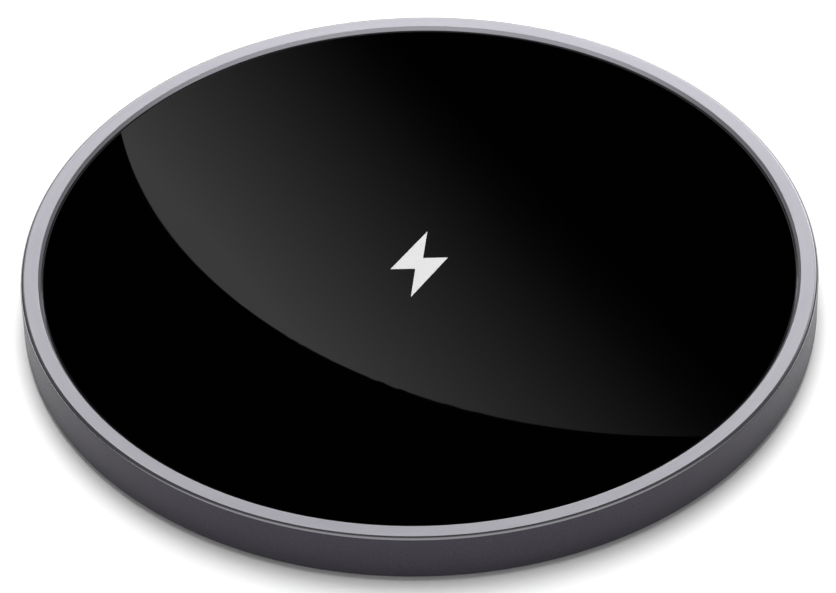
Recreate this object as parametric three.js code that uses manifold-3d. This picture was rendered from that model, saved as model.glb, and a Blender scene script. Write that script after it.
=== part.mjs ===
// A round wireless charging pad: a black glass disc in an anodised aluminium ring, standing on a
// silicone foot ring, with its transmitter coil, control board and USB-C inlet inside.
// Millimetres, +Z up. The origin is the middle of the underside of the foot ring, the front of the pad
// faces -Y, and the cable inlet is at the rear, on +Y.
import * as THREE from "three";
import { mergeVertices } from "three/addons/utils/BufferGeometryUtils.js";
import Module from "manifold-3d";

const wasm = await Module();
wasm.setup();

// ---- Driving dimensions ----
// Overall
const PAD_DIAMETER = 100;
const PAD_HEIGHT = 7;
const ROUND_SIDES = 96; // facets round the large turned pieces
// Fits
const SLIDE_GAP = 0.2; // between a piece and the opening that it sits in
const BOND_GAP = 0.02; // between two layers that are bonded or rest on each other
// Ring
const RING_WALL = 2;
const RING_FLOOR_GAP = 0.6; // height of the ring's lower edge above the table
const RING_TOP_ROUND = 0.45;
const RING_BOTTOM_CHAMFER = 0.3;
const BEZEL_WIDTH = 2.2; // of the ring's top face, outer rounding included
const BEZEL_CHAMFER = 0.3; // its width; its depth is below
const BEZEL_CHAMFER_DEPTH = 0.4;
const LEDGE_WIDTH = 2;
const LEDGE_THICKNESS = 1;
// Glass
const GLASS_RECESS = 0.5; // below the top of the ring
const GLASS_THICKNESS = 1.1;
const GLASS_EDGE = 0.15;
const GLASS_TAPE_THICKNESS = 0.16;
const MARK_HEIGHT = 12.5;
const MARK_THICKNESS = 0.04;
// Bottom cover and foot
const COVER_THICKNESS = 0.8;
const COVER_EDGE_GAP = 0.3;
const COVER_EDGE_CHAMFER = 0.2;
const FOOT_PROUD = 0.5; // how far the foot ring stands below the cover
const FOOT_WIDTH = 10;
const FOOT_EDGE_INSET = 4; // from the ring's outside to the foot's outside
const FOOT_GROOVE_DEPTH = 0.3;
// Cover screws
const SCREW_INSET = 7; // from the ring's outside to the screws' axes
const SCREW_COUNT = 4;
const SCREW_RADIUS = 0.8;
const SCREW_LENGTH = 2.8;
const SCREW_HEAD_RADIUS = 1.5;
const SCREW_HEAD_HEIGHT = 0.4;
const LUG_RADIUS = 2.8;
// Coil stack
const COIL_OUTER_RADIUS = 21.5;
const COIL_INNER_RADIUS = 10;
const COIL_THICKNESS = 1;
const COIL_TAPE_THICKNESS = 0.13;
const FERRITE_THICKNESS = 0.85;
const FERRITE_MARGIN = 4; // of the ferrite beyond the coil
const FERRITE_SLOT_WIDTH = 5;
const FOAM_RADIUS = 18;
const COIL_WIRE = 0.75;
const SENSOR_DIAMETER = 0.8;
const SENSOR_LENGTH = 3;
const SENSOR_WIRE = 0.36;
const SENSOR_WIRE_PITCH = 0.4;
const SENSOR_WIRE_LEVEL_RUN = 0.6; // from the sensor to where its wires start down
const SENSOR_WIRE_DROP_RUN = 2;
const SENSOR_OFFSET = 0.8; // sideways, clear of the coil's inner lead in the same slot
// Board
const BOARD_THICKNESS = 0.8;
const BOARD_STANDOFF = 0.6;
const BOARD_COIL_GAP = 2; // from the ferrite to the board
const BOARD_WALL_GAP = 1.6; // from the ring's wall to the board
const BOARD_HALF_ANGLE = 38;
const BOARD_SCREW_ANGLE = 33;
const BOARD_SCREW_INSET = 3.4; // from the board's inner edge
const BOARD_SCREW_RADIUS = 0.6;
const BOARD_SCREW_HEAD_RADIUS = 1.3;
const BOARD_SCREW_HEAD_HEIGHT = 0.5;
const BOSS_RADIUS = 2;
const SOLDER_GAP = 0.03; // from a component to the board
const COMPONENT_EDGE_GAP = 0.5; // from the board's edge or the ledge to the nearest component
// Inlet
const PORT_WIDTH = 8.94;
const PORT_HEIGHT = 3.2;
const PORT_DEPTH = 7.3;
const PORT_SHEET = 0.3;
const PORT_FLOOR_GAP = 0.1;
const PORT_SET_BACK = 0.8; // of the mouth behind the ring's outside
const TONGUE_WIDTH = 6.7;
const TONGUE_THICKNESS = 0.7;
const TONGUE_SET_BACK = 0.9;
const TONGUE_ROOT = 1.6;
// Status light
const LIGHT_OFFSET = 9; // from the inlet's axis
const LIGHT_GUIDE_RADIUS = 0.6;
const LED_SIZE = [1.6, 0.8, 0.6];

// ---- Derived levels and radii ----
const ringRadius = PAD_DIAMETER / 2;
const wallRadius = ringRadius - RING_WALL;
const bezelRadius = ringRadius - BEZEL_WIDTH;
const mouthRadius = bezelRadius - BEZEL_CHAMFER;
const ledgeRadius = mouthRadius - LEDGE_WIDTH;
const glassRadius = mouthRadius - SLIDE_GAP;
const glassTop = PAD_HEIGHT - GLASS_RECESS;
const glassBottom = glassTop - GLASS_THICKNESS;
const ledgeTop = glassBottom - GLASS_TAPE_THICKNESS - 2 * BOND_GAP;
const ledgeBottom = ledgeTop - LEDGE_THICKNESS;
const coverBottom = FOOT_PROUD;
const coverTop = coverBottom + COVER_THICKNESS;
const coverRadius = wallRadius - COVER_EDGE_GAP;
const grooveTop = coverBottom + FOOT_GROOVE_DEPTH;
const footOuter = ringRadius - FOOT_EDGE_INSET;
const footInner = footOuter - FOOT_WIDTH;
const screwCircle = ringRadius - SCREW_INSET;
const lugBottom = coverTop + SLIDE_GAP;
const coilTop = glassBottom - COIL_TAPE_THICKNESS - 2 * BOND_GAP;
const coilBottom = coilTop - COIL_THICKNESS;
const ferriteTop = coilBottom - BOND_GAP;
const ferriteBottom = ferriteTop - FERRITE_THICKNESS;
const ferriteRadius = COIL_OUTER_RADIUS + FERRITE_MARGIN;
const boardBottom = coverTop + BOARD_STANDOFF;
const boardTop = boardBottom + BOARD_THICKNESS;
const boardInner = ferriteRadius + BOARD_COIL_GAP;
const boardOuter = wallRadius - BOARD_WALL_GAP;
const componentInner = boardInner + COMPONENT_EDGE_GAP;
const componentOuter = Math.min(boardOuter, ledgeRadius) - COMPONENT_EDGE_GAP;
const portLevel = coverTop + PORT_FLOOR_GAP + PORT_HEIGHT / 2;
const portMouth = ringRadius - PORT_SET_BACK;
const portRear = portMouth - PORT_DEPTH;

// ---- Helpers ----
const REAR = Math.PI / 2;

function radians(degrees) {
  return (degrees * Math.PI) / 180;
}

function onCircle(radius, angle) {
  return [radius * Math.cos(angle), radius * Math.sin(angle)];
}

// A solid turned about Z from a profile of [radius, height] points.
function turned(profile, sides = ROUND_SIDES) {
  const points = profile.map(([r, z]) => new THREE.Vector2(r, z));
  if (profile[0][0] > 0) points.push(points[0].clone());
  if (THREE.ShapeUtils.area(points) < 0) points.reverse();
  return new THREE.LatheGeometry(points, sides).rotateX(Math.PI / 2);
}

function washer(inner, outer, bottom, top, sides = ROUND_SIDES) {
  const profile = [
    [inner, bottom],
    [outer, bottom],
    [outer, top],
    [inner, top],
  ];
  return turned(profile, sides);
}

function disc(radius, bottom, top, sides = ROUND_SIDES) {
  return washer(0, radius, bottom, top, sides);
}

function post([x, y], radius, bottom, top, sides = 24) {
  return disc(radius, bottom, top, sides).translate(x, y, 0);
}

// A box from its centre in X and Y, its sizes and the level of its underside.
function block([x, y], [width, depth, height], bottom) {
  return new THREE.BoxGeometry(width, depth, height).translate(x, y, bottom + height / 2);
}

// A flat plate from a 2-D outline, standing on the given level.
function plate(shape, bottom, thickness, curveSegments = 12) {
  const options = { depth: thickness, bevelEnabled: false, curveSegments };
  return new THREE.ExtrudeGeometry(shape, options).translate(0, 0, bottom);
}

function stadium(width, height) {
  const shape = new THREE.Shape();
  const half = (width - height) / 2;
  shape.absarc(half, 0, height / 2, -REAR, REAR);
  shape.absarc(-half, 0, height / 2, REAR, 3 * REAR);
  return shape;
}

// A bar of stadium section that runs along Y, from one depth to another.
function stadiumBar(width, height, from, to, level) {
  const options = { depth: to - from, bevelEnabled: false, curveSegments: 8 };
  return new THREE.ExtrudeGeometry(stadium(width, height), options)
    .rotateX(REAR)
    .translate(0, to, level);
}

function wire(points, diameter, steps) {
  const route = new THREE.CatmullRomCurve3(points.map((p) => new THREE.Vector3(...p)));
  const section = new THREE.Shape().absarc(0, 0, diameter / 2, 0, 2 * Math.PI);
  const options = { extrudePath: route, steps, curveSegments: 4 };
  return new THREE.ExtrudeGeometry(section, options);
}

function solidOf(geometry) {
  const bare = geometry.clone();
  bare.deleteAttribute("normal");
  bare.deleteAttribute("uv");
  const merged = mergeVertices(bare);
  const vertProperties = merged.attributes.position.array;
  const triVerts = new Uint32Array(merged.index.array);
  return new wasm.Manifold(new wasm.Mesh({ numProp: 3, vertProperties, triVerts }));
}

function geometryOf(solid) {
  const { vertProperties, triVerts } = solid.getMesh();
  return new THREE.BufferGeometry()
    .setAttribute("position", new THREE.BufferAttribute(vertProperties, 3))
    .setIndex(new THREE.BufferAttribute(triVerts, 1));
}

function joined(geometries) {
  return geometryOf(geometries.map(solidOf).reduce((whole, next) => whole.add(next)));
}

function cut(geometry, tools) {
  return geometryOf(tools.map(solidOf).reduce((left, tool) => left.subtract(tool), solidOf(geometry)));
}

const pad = new THREE.Group();

function addPiece(name, geometry, finish) {
  const mesh = new THREE.Mesh(geometry, new THREE.MeshStandardMaterial(finish));
  mesh.name = name;
  pad.add(mesh);
}

// ---- Finishes ----
const ANODISED = { color: 0x8f8d95, roughness: 0.35, metalness: 1 };
const BLACK_GLASS = { color: 0x020202, roughness: 0.03, metalness: 0 };
const WHITE_PRINT = { color: 0xebebeb, roughness: 0.5, metalness: 0 };
const TAPE = { color: 0x1a1a1c, roughness: 0.8, metalness: 0 };
const COPPER = { color: 0xb4673a, roughness: 0.4, metalness: 1 };
const FERRITE = { color: 0x33353a, roughness: 0.7, metalness: 0 };
const FOAM = { color: 0x202022, roughness: 0.95, metalness: 0 };
const SOLDER_MASK = { color: 0x0d4a2a, roughness: 0.45, metalness: 0 };
const CHIP = { color: 0x17171a, roughness: 0.55, metalness: 0 };
const CERAMIC = { color: 0x9a7a55, roughness: 0.5, metalness: 0 };
const STEEL = { color: 0xb9babd, roughness: 0.3, metalness: 1 };
const BLACK_PLASTIC = { color: 0x161617, roughness: 0.6, metalness: 0 };
const CLEAR_PLASTIC = { color: 0xdfe6ea, roughness: 0.2, metalness: 0 };
const SILICONE = { color: 0x242426, roughness: 0.85, metalness: 0 };
const SENSOR_WIRE_RED = { color: 0x8a1d1a, roughness: 0.5, metalness: 0 };

// ---- Places that several pieces share ----
const screwAngles = Array.from({ length: SCREW_COUNT }, (_, i) => REAR / 2 + (i * 2 * Math.PI) / SCREW_COUNT);
const screwPlaces = screwAngles.map((angle) => onCircle(screwCircle, angle));
const boardScrewPlaces = [-1, 1].map((side) =>
  onCircle(boardInner + BOARD_SCREW_INSET, REAR + side * radians(BOARD_SCREW_ANGLE)),
);
const lightGuideMouth = Math.sqrt(ringRadius ** 2 - LIGHT_OFFSET ** 2);
const lightGuideRear = Math.sqrt(boardOuter ** 2 - LIGHT_OFFSET ** 2) + SLIDE_GAP;
const lightLevel = boardTop + LED_SIZE[2] / 2;

// ---- Ring ----
function ringBody() {
  const roundTop = [1, 2, 3].map((i) => {
    const angle = (i * REAR) / 4;
    const across = ringRadius - RING_TOP_ROUND * (1 - Math.cos(angle));
    return [across, PAD_HEIGHT - RING_TOP_ROUND * (1 - Math.sin(angle))];
  });
  return turned([
    [wallRadius, RING_FLOOR_GAP],
    [ringRadius - RING_BOTTOM_CHAMFER, RING_FLOOR_GAP],
    [ringRadius, RING_FLOOR_GAP + RING_BOTTOM_CHAMFER],
    [ringRadius, PAD_HEIGHT - RING_TOP_ROUND],
    ...roundTop,
    [ringRadius - RING_TOP_ROUND, PAD_HEIGHT],
    [bezelRadius, PAD_HEIGHT],
    [mouthRadius, PAD_HEIGHT - BEZEL_CHAMFER_DEPTH],
    [mouthRadius, ledgeTop],
    [ledgeRadius, ledgeTop],
    [ledgeRadius, ledgeBottom],
    [wallRadius, ledgeBottom],
  ]);
}

// A lug hangs under the ledge and takes one cover screw.
function screwLug(angle) {
  const reach = wallRadius + RING_WALL / 2 - screwCircle;
  const outline = new THREE.Shape();
  outline.moveTo(reach, -LUG_RADIUS);
  outline.lineTo(reach, LUG_RADIUS);
  outline.absarc(0, 0, LUG_RADIUS, REAR, 3 * REAR);
  const [x, y] = onCircle(screwCircle, angle);
  return plate(outline, lugBottom, ledgeBottom - lugBottom, 8)
    .rotateZ(angle)
    .translate(x, y, 0);
}

function bezelRing() {
  const lugs = screwAngles.map(screwLug);
  const pilots = screwPlaces.map((place) =>
    post(place, SCREW_RADIUS + SLIDE_GAP, lugBottom - 1, ledgeBottom - SLIDE_GAP, 16),
  );
  const portSlot = stadiumBar(
    PORT_WIDTH + 2 * SLIDE_GAP,
    PORT_HEIGHT + 2 * SLIDE_GAP,
    ledgeRadius - LEDGE_WIDTH,
    ringRadius + 1,
    portLevel,
  );
  const lightHole = new THREE.CylinderGeometry(
    LIGHT_GUIDE_RADIUS + SLIDE_GAP,
    LIGHT_GUIDE_RADIUS + SLIDE_GAP,
    2 * RING_WALL + 2,
    16,
  ).translate(LIGHT_OFFSET, wallRadius, lightLevel);
  return cut(joined([ringBody(), ...lugs]), [...pilots, portSlot, lightHole]);
}

// ---- Glass ----
function topGlass() {
  return turned([
    [0, glassBottom],
    [glassRadius, glassBottom],
    [glassRadius, glassTop - GLASS_EDGE],
    [glassRadius - GLASS_EDGE, glassTop],
    [0, glassTop],
  ]);
}

// A plain lightning bolt, printed on the middle of the glass, its top towards the rear.
function chargeMark() {
  const unit = MARK_HEIGHT / 10;
  const outline = [
    [0.9, 5],
    [-2.9, -0.7],
    [-0.4, -0.7],
    [-0.9, -5],
    [2.9, 0.9],
    [0.4, 0.9],
  ];
  const shape = new THREE.Shape(outline.map(([x, y]) => new THREE.Vector2(x * unit, y * unit)));
  return plate(shape, glassTop + BOND_GAP / 2, MARK_THICKNESS);
}

// ---- Coil stack ----
// The slot lets the coil's inner end and the sensor's wires out under the coil.
function ferriteShield() {
  const body = disc(ferriteRadius, ferriteBottom, ferriteTop, 64);
  const slotLength = ferriteRadius + 4;
  const slot = block(
    [0, COIL_INNER_RADIUS / 2 + slotLength / 2],
    [FERRITE_SLOT_WIDTH, slotLength, 3 * FERRITE_THICKNESS],
    ferriteBottom - FERRITE_THICKNESS,
  );
  return cut(body, [slot]);
}

const leadLevel = boardTop + SOLDER_GAP + COIL_WIRE / 2;
const slotLevel = (ferriteTop + ferriteBottom) / 2;

function innerCoilLead() {
  const x = -FERRITE_SLOT_WIDTH / 2 + COIL_WIRE;
  return wire(
    [
      [x, COIL_INNER_RADIUS - 2.2, slotLevel],
      [x, COIL_OUTER_RADIUS / 2 + 4, slotLevel],
      [x, ferriteRadius - 2, slotLevel],
      [x, ferriteRadius - 0.5, slotLevel],
      [x, ferriteRadius + BOARD_COIL_GAP / 2, (slotLevel + leadLevel) / 2],
      [x - 0.3, boardInner + 1, leadLevel],
      [x - 0.5, boardInner + 3, leadLevel],
    ],
    COIL_WIRE,
    22,
  );
}

function outerCoilLead() {
  const angle = REAR + radians(9);
  const level = ferriteTop + COIL_WIRE / 2 + BOND_GAP;
  const at = (radius, height) => [...onCircle(radius, angle), height];
  return wire(
    [
      at(COIL_OUTER_RADIUS + 0.6, level),
      at(ferriteRadius - 0.6, level),
      at(ferriteRadius + 0.5, level),
      at(boardInner + 0.2, (level + leadLevel) / 2),
      at(boardInner + 1.8, leadLevel),
      at(boardInner + 3.4, leadLevel),
    ],
    COIL_WIRE,
    16,
  );
}

// The sensor lies on the ferrite inside the coil, with its rear end at the start of the slot. Its two
// wires leave that end side by side, drop into the slot and run out under the coil.
const sensorLevel = ferriteTop + BOND_GAP + SENSOR_DIAMETER / 2;
const sensorEnd = COIL_INNER_RADIUS / 2;

function sensorWire(side) {
  const x = SENSOR_OFFSET + (side * SENSOR_WIRE_PITCH) / 2;
  const level = boardTop + SOLDER_GAP + SENSOR_WIRE / 2;
  return wire(
    [
      [x, sensorEnd + BOND_GAP, sensorLevel],
      [x, sensorEnd + SENSOR_WIRE_LEVEL_RUN, sensorLevel],
      [x, sensorEnd + SENSOR_WIRE_LEVEL_RUN + SENSOR_WIRE_DROP_RUN, slotLevel],
      [x, COIL_OUTER_RADIUS / 2 + 4, slotLevel],
      [x, ferriteRadius - 2, slotLevel],
      [x, ferriteRadius - 0.5, slotLevel],
      [x, ferriteRadius + BOARD_COIL_GAP / 2, (slotLevel + level) / 2],
      [x, boardInner + 0.8, level],
      [x, boardInner + 2.4, level],
    ],
    SENSOR_WIRE,
    28,
  );
}

function thermistor() {
  const straight = SENSOR_LENGTH - SENSOR_DIAMETER;
  return new THREE.CapsuleGeometry(SENSOR_DIAMETER / 2, straight, 4, 12).translate(
    SENSOR_OFFSET,
    sensorEnd - SENSOR_LENGTH / 2,
    sensorLevel,
  );
}

// ---- Board ----
function mainBoard() {
  const half = radians(BOARD_HALF_ANGLE);
  const outline = new THREE.Shape();
  outline.absarc(0, 0, boardOuter, REAR - half, REAR + half);
  outline.absarc(0, 0, boardInner, REAR + half, REAR - half, true);
  const inletDepth = ringRadius - portRear + SLIDE_GAP;
  const inlet = block(
    [0, ringRadius - inletDepth / 2],
    [PORT_WIDTH + 2 * SLIDE_GAP, inletDepth, 3 * BOARD_THICKNESS],
    boardBottom - BOARD_THICKNESS,
  );
  const holes = boardScrewPlaces.map((place) =>
    post(place, BOARD_SCREW_RADIUS + SLIDE_GAP, boardBottom - 1, boardTop + 1, 16),
  );
  return cut(plate(outline, boardBottom, BOARD_THICKNESS, 16), [inlet, ...holes]);
}

// A component lies on the board at an angle from the rear, square to the radius there. Its share says
// how far out it is: 0 at the inner edge of the board's free band and 1 at the outer edge.
function component(angle, share, size) {
  const turn = radians(angle);
  const travel = componentOuter - componentInner - size[1];
  const [x, y] = onCircle(componentInner + size[1] / 2 + share * travel, REAR + turn);
  return block([0, 0], size, boardTop + SOLDER_GAP)
    .rotateZ(turn)
    .translate(x, y, 0);
}

function boardScrew([x, y]) {
  const head = boardTop + BOND_GAP;
  return turned(
    [
      [0, grooveTop + SLIDE_GAP + 2 * BOND_GAP],
      [BOARD_SCREW_RADIUS, grooveTop + SLIDE_GAP + 2 * BOND_GAP],
      [BOARD_SCREW_RADIUS, head],
      [BOARD_SCREW_HEAD_RADIUS, head],
      [BOARD_SCREW_HEAD_RADIUS, head + BOARD_SCREW_HEAD_HEIGHT],
      [0, head + BOARD_SCREW_HEAD_HEIGHT],
    ],
    20,
  ).translate(x, y, 0);
}

// ---- Inlet ----
// A drawn steel shell, open at its mouth and closed behind the tongue's root.
function portShell() {
  const outside = stadiumBar(PORT_WIDTH, PORT_HEIGHT, portRear, portMouth, portLevel);
  const inside = stadiumBar(
    PORT_WIDTH - 2 * PORT_SHEET,
    PORT_HEIGHT - 2 * PORT_SHEET,
    portRear + PORT_SHEET,
    portMouth + 1,
    portLevel,
  );
  return cut(outside, [inside]);
}

function portTongue() {
  const root = portRear + PORT_SHEET + BOND_GAP;
  const tip = portMouth - TONGUE_SET_BACK;
  const base = stadiumBar(
    PORT_WIDTH - 2 * PORT_SHEET - 2 * BOND_GAP,
    PORT_HEIGHT - 2 * PORT_SHEET - 2 * BOND_GAP,
    root,
    root + TONGUE_ROOT,
    portLevel,
  );
  const blade = block(
    [0, (root + tip) / 2],
    [TONGUE_WIDTH, tip - root, TONGUE_THICKNESS],
    portLevel - TONGUE_THICKNESS / 2,
  );
  return joined([base, blade]);
}

function lightGuide() {
  const mouth = lightGuideMouth - SLIDE_GAP;
  return new THREE.CylinderGeometry(
    LIGHT_GUIDE_RADIUS,
    LIGHT_GUIDE_RADIUS,
    mouth - lightGuideRear,
    16,
  ).translate(LIGHT_OFFSET, (mouth + lightGuideRear) / 2, lightLevel);
}

// ---- Bottom cover and foot ----
function bottomCover() {
  const tray = turned([
    [0, coverBottom],
    [footInner - SLIDE_GAP, coverBottom],
    [footInner - SLIDE_GAP, grooveTop],
    [footOuter + SLIDE_GAP, grooveTop],
    [footOuter + SLIDE_GAP, coverBottom],
    [coverRadius - COVER_EDGE_CHAMFER, coverBottom],
    [coverRadius, coverBottom + COVER_EDGE_CHAMFER],
    [coverRadius, coverTop],
    [0, coverTop],
  ]);
  const bosses = boardScrewPlaces.map((place) =>
    post(place, BOSS_RADIUS, coverTop - COVER_THICKNESS / 4, boardBottom - BOND_GAP, 20),
  );
  const pilots = boardScrewPlaces.map((place) =>
    post(place, BOARD_SCREW_RADIUS + SLIDE_GAP, grooveTop + SLIDE_GAP, boardBottom + 1, 16),
  );
  const sinks = screwPlaces.map(([x, y]) =>
    turned(
      [
        [0, grooveTop - 1],
        [SCREW_HEAD_RADIUS + SLIDE_GAP, grooveTop - 1],
        [SCREW_HEAD_RADIUS + SLIDE_GAP, grooveTop + BOND_GAP],
        [SCREW_RADIUS + SLIDE_GAP, grooveTop + SCREW_HEAD_HEIGHT],
        [SCREW_RADIUS + SLIDE_GAP, coverTop + 1],
        [0, coverTop + 1],
      ],
      20,
    ).translate(x, y, 0),
  );
  return cut(joined([tray, ...bosses]), [...pilots, ...sinks]);
}

function coverScrew([x, y]) {
  const head = grooveTop + BOND_GAP;
  return turned(
    [
      [0, head],
      [SCREW_HEAD_RADIUS, head],
      [SCREW_RADIUS, head + SCREW_HEAD_HEIGHT],
      [SCREW_RADIUS, head + SCREW_LENGTH],
      [0, head + SCREW_LENGTH],
    ],
    20,
  ).translate(x, y, 0);
}

// ---- Assembly ----
addPiece("bezel_ring", bezelRing(), ANODISED);
addPiece("top_glass", topGlass(), BLACK_GLASS);
addPiece("charge_mark", chargeMark(), WHITE_PRINT);
addPiece(
  "glass_adhesive",
  washer(ledgeRadius + SLIDE_GAP, glassRadius, ledgeTop + BOND_GAP, glassBottom - BOND_GAP),
  TAPE,
);
addPiece("coil_adhesive", disc(COIL_OUTER_RADIUS, coilTop + BOND_GAP, glassBottom - BOND_GAP, 64), TAPE);
addPiece("transmitter_coil", washer(COIL_INNER_RADIUS, COIL_OUTER_RADIUS, coilBottom, coilTop, 64), COPPER);
addPiece("coil_lead_inner", innerCoilLead(), COPPER);
addPiece("coil_lead_outer", outerCoilLead(), COPPER);
addPiece("ferrite_shield", ferriteShield(), FERRITE);
addPiece("foam_pad", disc(FOAM_RADIUS, coverTop + BOND_GAP, ferriteBottom - BOND_GAP, 48), FOAM);
addPiece("thermistor", thermistor(), CHIP);
addPiece("thermistor_wire_1", sensorWire(-1), SENSOR_WIRE_RED);
addPiece("thermistor_wire_2", sensorWire(1), SENSOR_WIRE_RED);
addPiece("main_board", mainBoard(), SOLDER_MASK);
addPiece("controller_chip", component(-13, 0.15, [5, 5, 0.9]), CHIP);
addPiece("bridge_chip", component(14, 0.6, [4, 4, 0.9]), CHIP);
addPiece("power_inductor", component(-23, 1, [4.4, 4.4, 1.9]), CHIP);
[0, 0.3, 0.6, 0.9].forEach((share, i) => {
  addPiece(`resonance_capacitor_${i + 1}`, component(24, share, [3.2, 1.6, 1.6]), CERAMIC);
});
[0, 0.3].forEach((share, i) => {
  addPiece(`input_capacitor_${i + 1}`, component(-23, share, [3.2, 1.6, 1.4]), CERAMIC);
});
addPiece("usb_shell", portShell(), STEEL);
addPiece("usb_tongue", portTongue(), BLACK_PLASTIC);
const ledY = lightGuideRear - SLIDE_GAP - LED_SIZE[1];
addPiece("status_led", block([LIGHT_OFFSET, ledY], LED_SIZE, boardTop + SOLDER_GAP), CLEAR_PLASTIC);
addPiece("light_guide", lightGuide(), CLEAR_PLASTIC);
boardScrewPlaces.forEach((place, i) => addPiece(`board_screw_${i + 1}`, boardScrew(place), STEEL));
addPiece("bottom_cover", bottomCover(), BLACK_PLASTIC);
screwPlaces.forEach((place, i) => addPiece(`cover_screw_${i + 1}`, coverScrew(place), STEEL));
addPiece("foot_ring", washer(footInner, footOuter, 0, grooveTop - 2 * BOND_GAP), SILICONE);

export default pad;
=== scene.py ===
import math

import bmesh
import bpy
from mathutils import Matrix, Vector


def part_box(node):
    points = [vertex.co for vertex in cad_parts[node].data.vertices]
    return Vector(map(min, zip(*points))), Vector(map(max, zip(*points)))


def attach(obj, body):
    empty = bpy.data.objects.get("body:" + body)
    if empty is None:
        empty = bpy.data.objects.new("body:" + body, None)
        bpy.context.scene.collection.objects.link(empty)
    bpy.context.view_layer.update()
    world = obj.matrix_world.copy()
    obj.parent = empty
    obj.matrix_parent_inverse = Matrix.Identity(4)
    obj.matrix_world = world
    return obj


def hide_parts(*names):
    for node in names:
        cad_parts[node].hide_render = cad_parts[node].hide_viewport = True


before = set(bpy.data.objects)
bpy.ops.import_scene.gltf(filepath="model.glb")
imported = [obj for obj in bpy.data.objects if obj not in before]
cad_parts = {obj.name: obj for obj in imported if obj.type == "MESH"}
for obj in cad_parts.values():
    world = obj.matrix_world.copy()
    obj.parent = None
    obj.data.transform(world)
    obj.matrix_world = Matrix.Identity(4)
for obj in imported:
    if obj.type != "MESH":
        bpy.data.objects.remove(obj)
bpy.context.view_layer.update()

# A round wireless charging pad on a white table, in metres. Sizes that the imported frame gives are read
# from its boxes. The finer ones, which only the looks need, are named with their pieces, in millimetres.
MM = 0.001
ROUND_SIDES = 256

ring_low, ring_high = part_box("bezel_ring")
glass_low, glass_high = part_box("top_glass")
cover_low, cover_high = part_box("bottom_cover")
foot_low, foot_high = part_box("foot_ring")
shell_low, shell_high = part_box("usb_shell")
board_low, board_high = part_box("main_board")
coil_low, coil_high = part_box("transmitter_coil")
ferrite_low, ferrite_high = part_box("ferrite_shield")
guide_low, guide_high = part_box("light_guide")
RING_RADIUS = ring_high.x
RING_TOP = ring_high.z
GLASS_TOP = glass_high.z

# Ring
RING_WALL = 2 * MM
BEZEL_WIDTH = 2.24 * MM
BEZEL_CHAMFER = 0.3 * MM
BEZEL_CHAMFER_DEPTH = 0.4 * MM
EDGE_WIDTH = 0.50 * MM  # of the rounding at the ring's outer top edge
EDGE_HEIGHT = 0.42 * MM
INNER_ROUND = 0.07 * MM
SIDE_EDGE_ANGLE = 24  # the lowest degrees of the edge's round, which keep the side wall's finish
BOTTOM_ROUND = 0.4 * MM
LEDGE_WIDTH = 2 * MM
LEDGE_THICKNESS = 1 * MM
TINY_ROUND = 0.06 * MM
FIT_GAP = 0.2 * MM
BOND_GAP = 0.02 * MM

# Openings at the rear of the ring
PORT_WIDTH = shell_high.x - shell_low.x
PORT_HEIGHT = shell_high.z - shell_low.z
PORT_LEVEL = (shell_high.z + shell_low.z) / 2
PORT_SHEET = 0.3 * MM
OPENING_FLARE = 0.25 * MM
GUIDE_RADIUS = (guide_high.z - guide_low.z) / 2
GUIDE_LEVEL = (guide_high.z + guide_low.z) / 2
GUIDE_OFFSET = (guide_high.x + guide_low.x) / 2

# Screws, cover and foot
COVER_SCREWS = ["cover_screw_" + str(i) for i in range(1, 5)]
BOARD_SCREWS = ["board_screw_" + str(i) for i in range(1, 3)]
LUG_RADIUS = 2.8 * MM
FOOT_WIDTH = 10 * MM
COVER_TOP = cover_low.z + 0.8 * MM  # the cover's own top, below its bosses
BOARD_OUTER = math.hypot(PORT_WIDTH / 2 + FIT_GAP, board_high.y)


# ---- Mesh helpers ----
def arc(centre, radius, start, end, steps, height=None):
    """Points of an arc in the radius-height plane, angles in degrees from straight out. With a height
    that differs from the radius the arc is part of an ellipse."""
    height = height or radius
    points = []
    for i in range(steps + 1):
        angle = math.radians(start + (end - start) * i / steps)
        points.append((centre[0] + radius * math.cos(angle), centre[1] + height * math.sin(angle)))
    return points


def quarter(start, end, steps):
    """Angles in radians over a quarter turn, from start to end as shares of it."""
    return [math.pi / 2 * (start + (end - start) * i / steps) for i in range(steps + 1)]


SHARP_ANGLE = math.radians(35)


def finish_mesh(name, bm, materials):
    """The bmesh as a smooth-shaded object in the scene, with sharp edges kept."""
    bmesh.ops.remove_doubles(bm, verts=bm.verts, dist=1e-8)
    bmesh.ops.recalc_face_normals(bm, faces=bm.faces)
    mesh = bpy.data.meshes.new(name)
    bm.to_mesh(mesh)
    bm.free()
    for material in materials:
        mesh.materials.append(material)
    for polygon in mesh.polygons:
        polygon.use_smooth = True
    mesh.set_sharp_from_angle(angle=SHARP_ANGLE)
    piece = bpy.data.objects.new(name, mesh)
    bpy.context.scene.collection.objects.link(piece)
    return piece


SUPPORT = 0.04 * MM


def supported(profile):
    """The profile with an extra point close to both ends of each long straight, so that a flat face stays
    flat in its shading where it meets a round."""
    result = []
    for i, (r, z, index) in enumerate(profile):
        result.append((r, z, index))
        next_r, next_z, _ = profile[(i + 1) % len(profile)]
        length = math.hypot(next_r - r, next_z - z)
        if length > 5 * SUPPORT:
            for share in (SUPPORT / length, 1 - SUPPORT / length):
                result.append((r + (next_r - r) * share, z + (next_z - z) * share, index))
    return result


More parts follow.
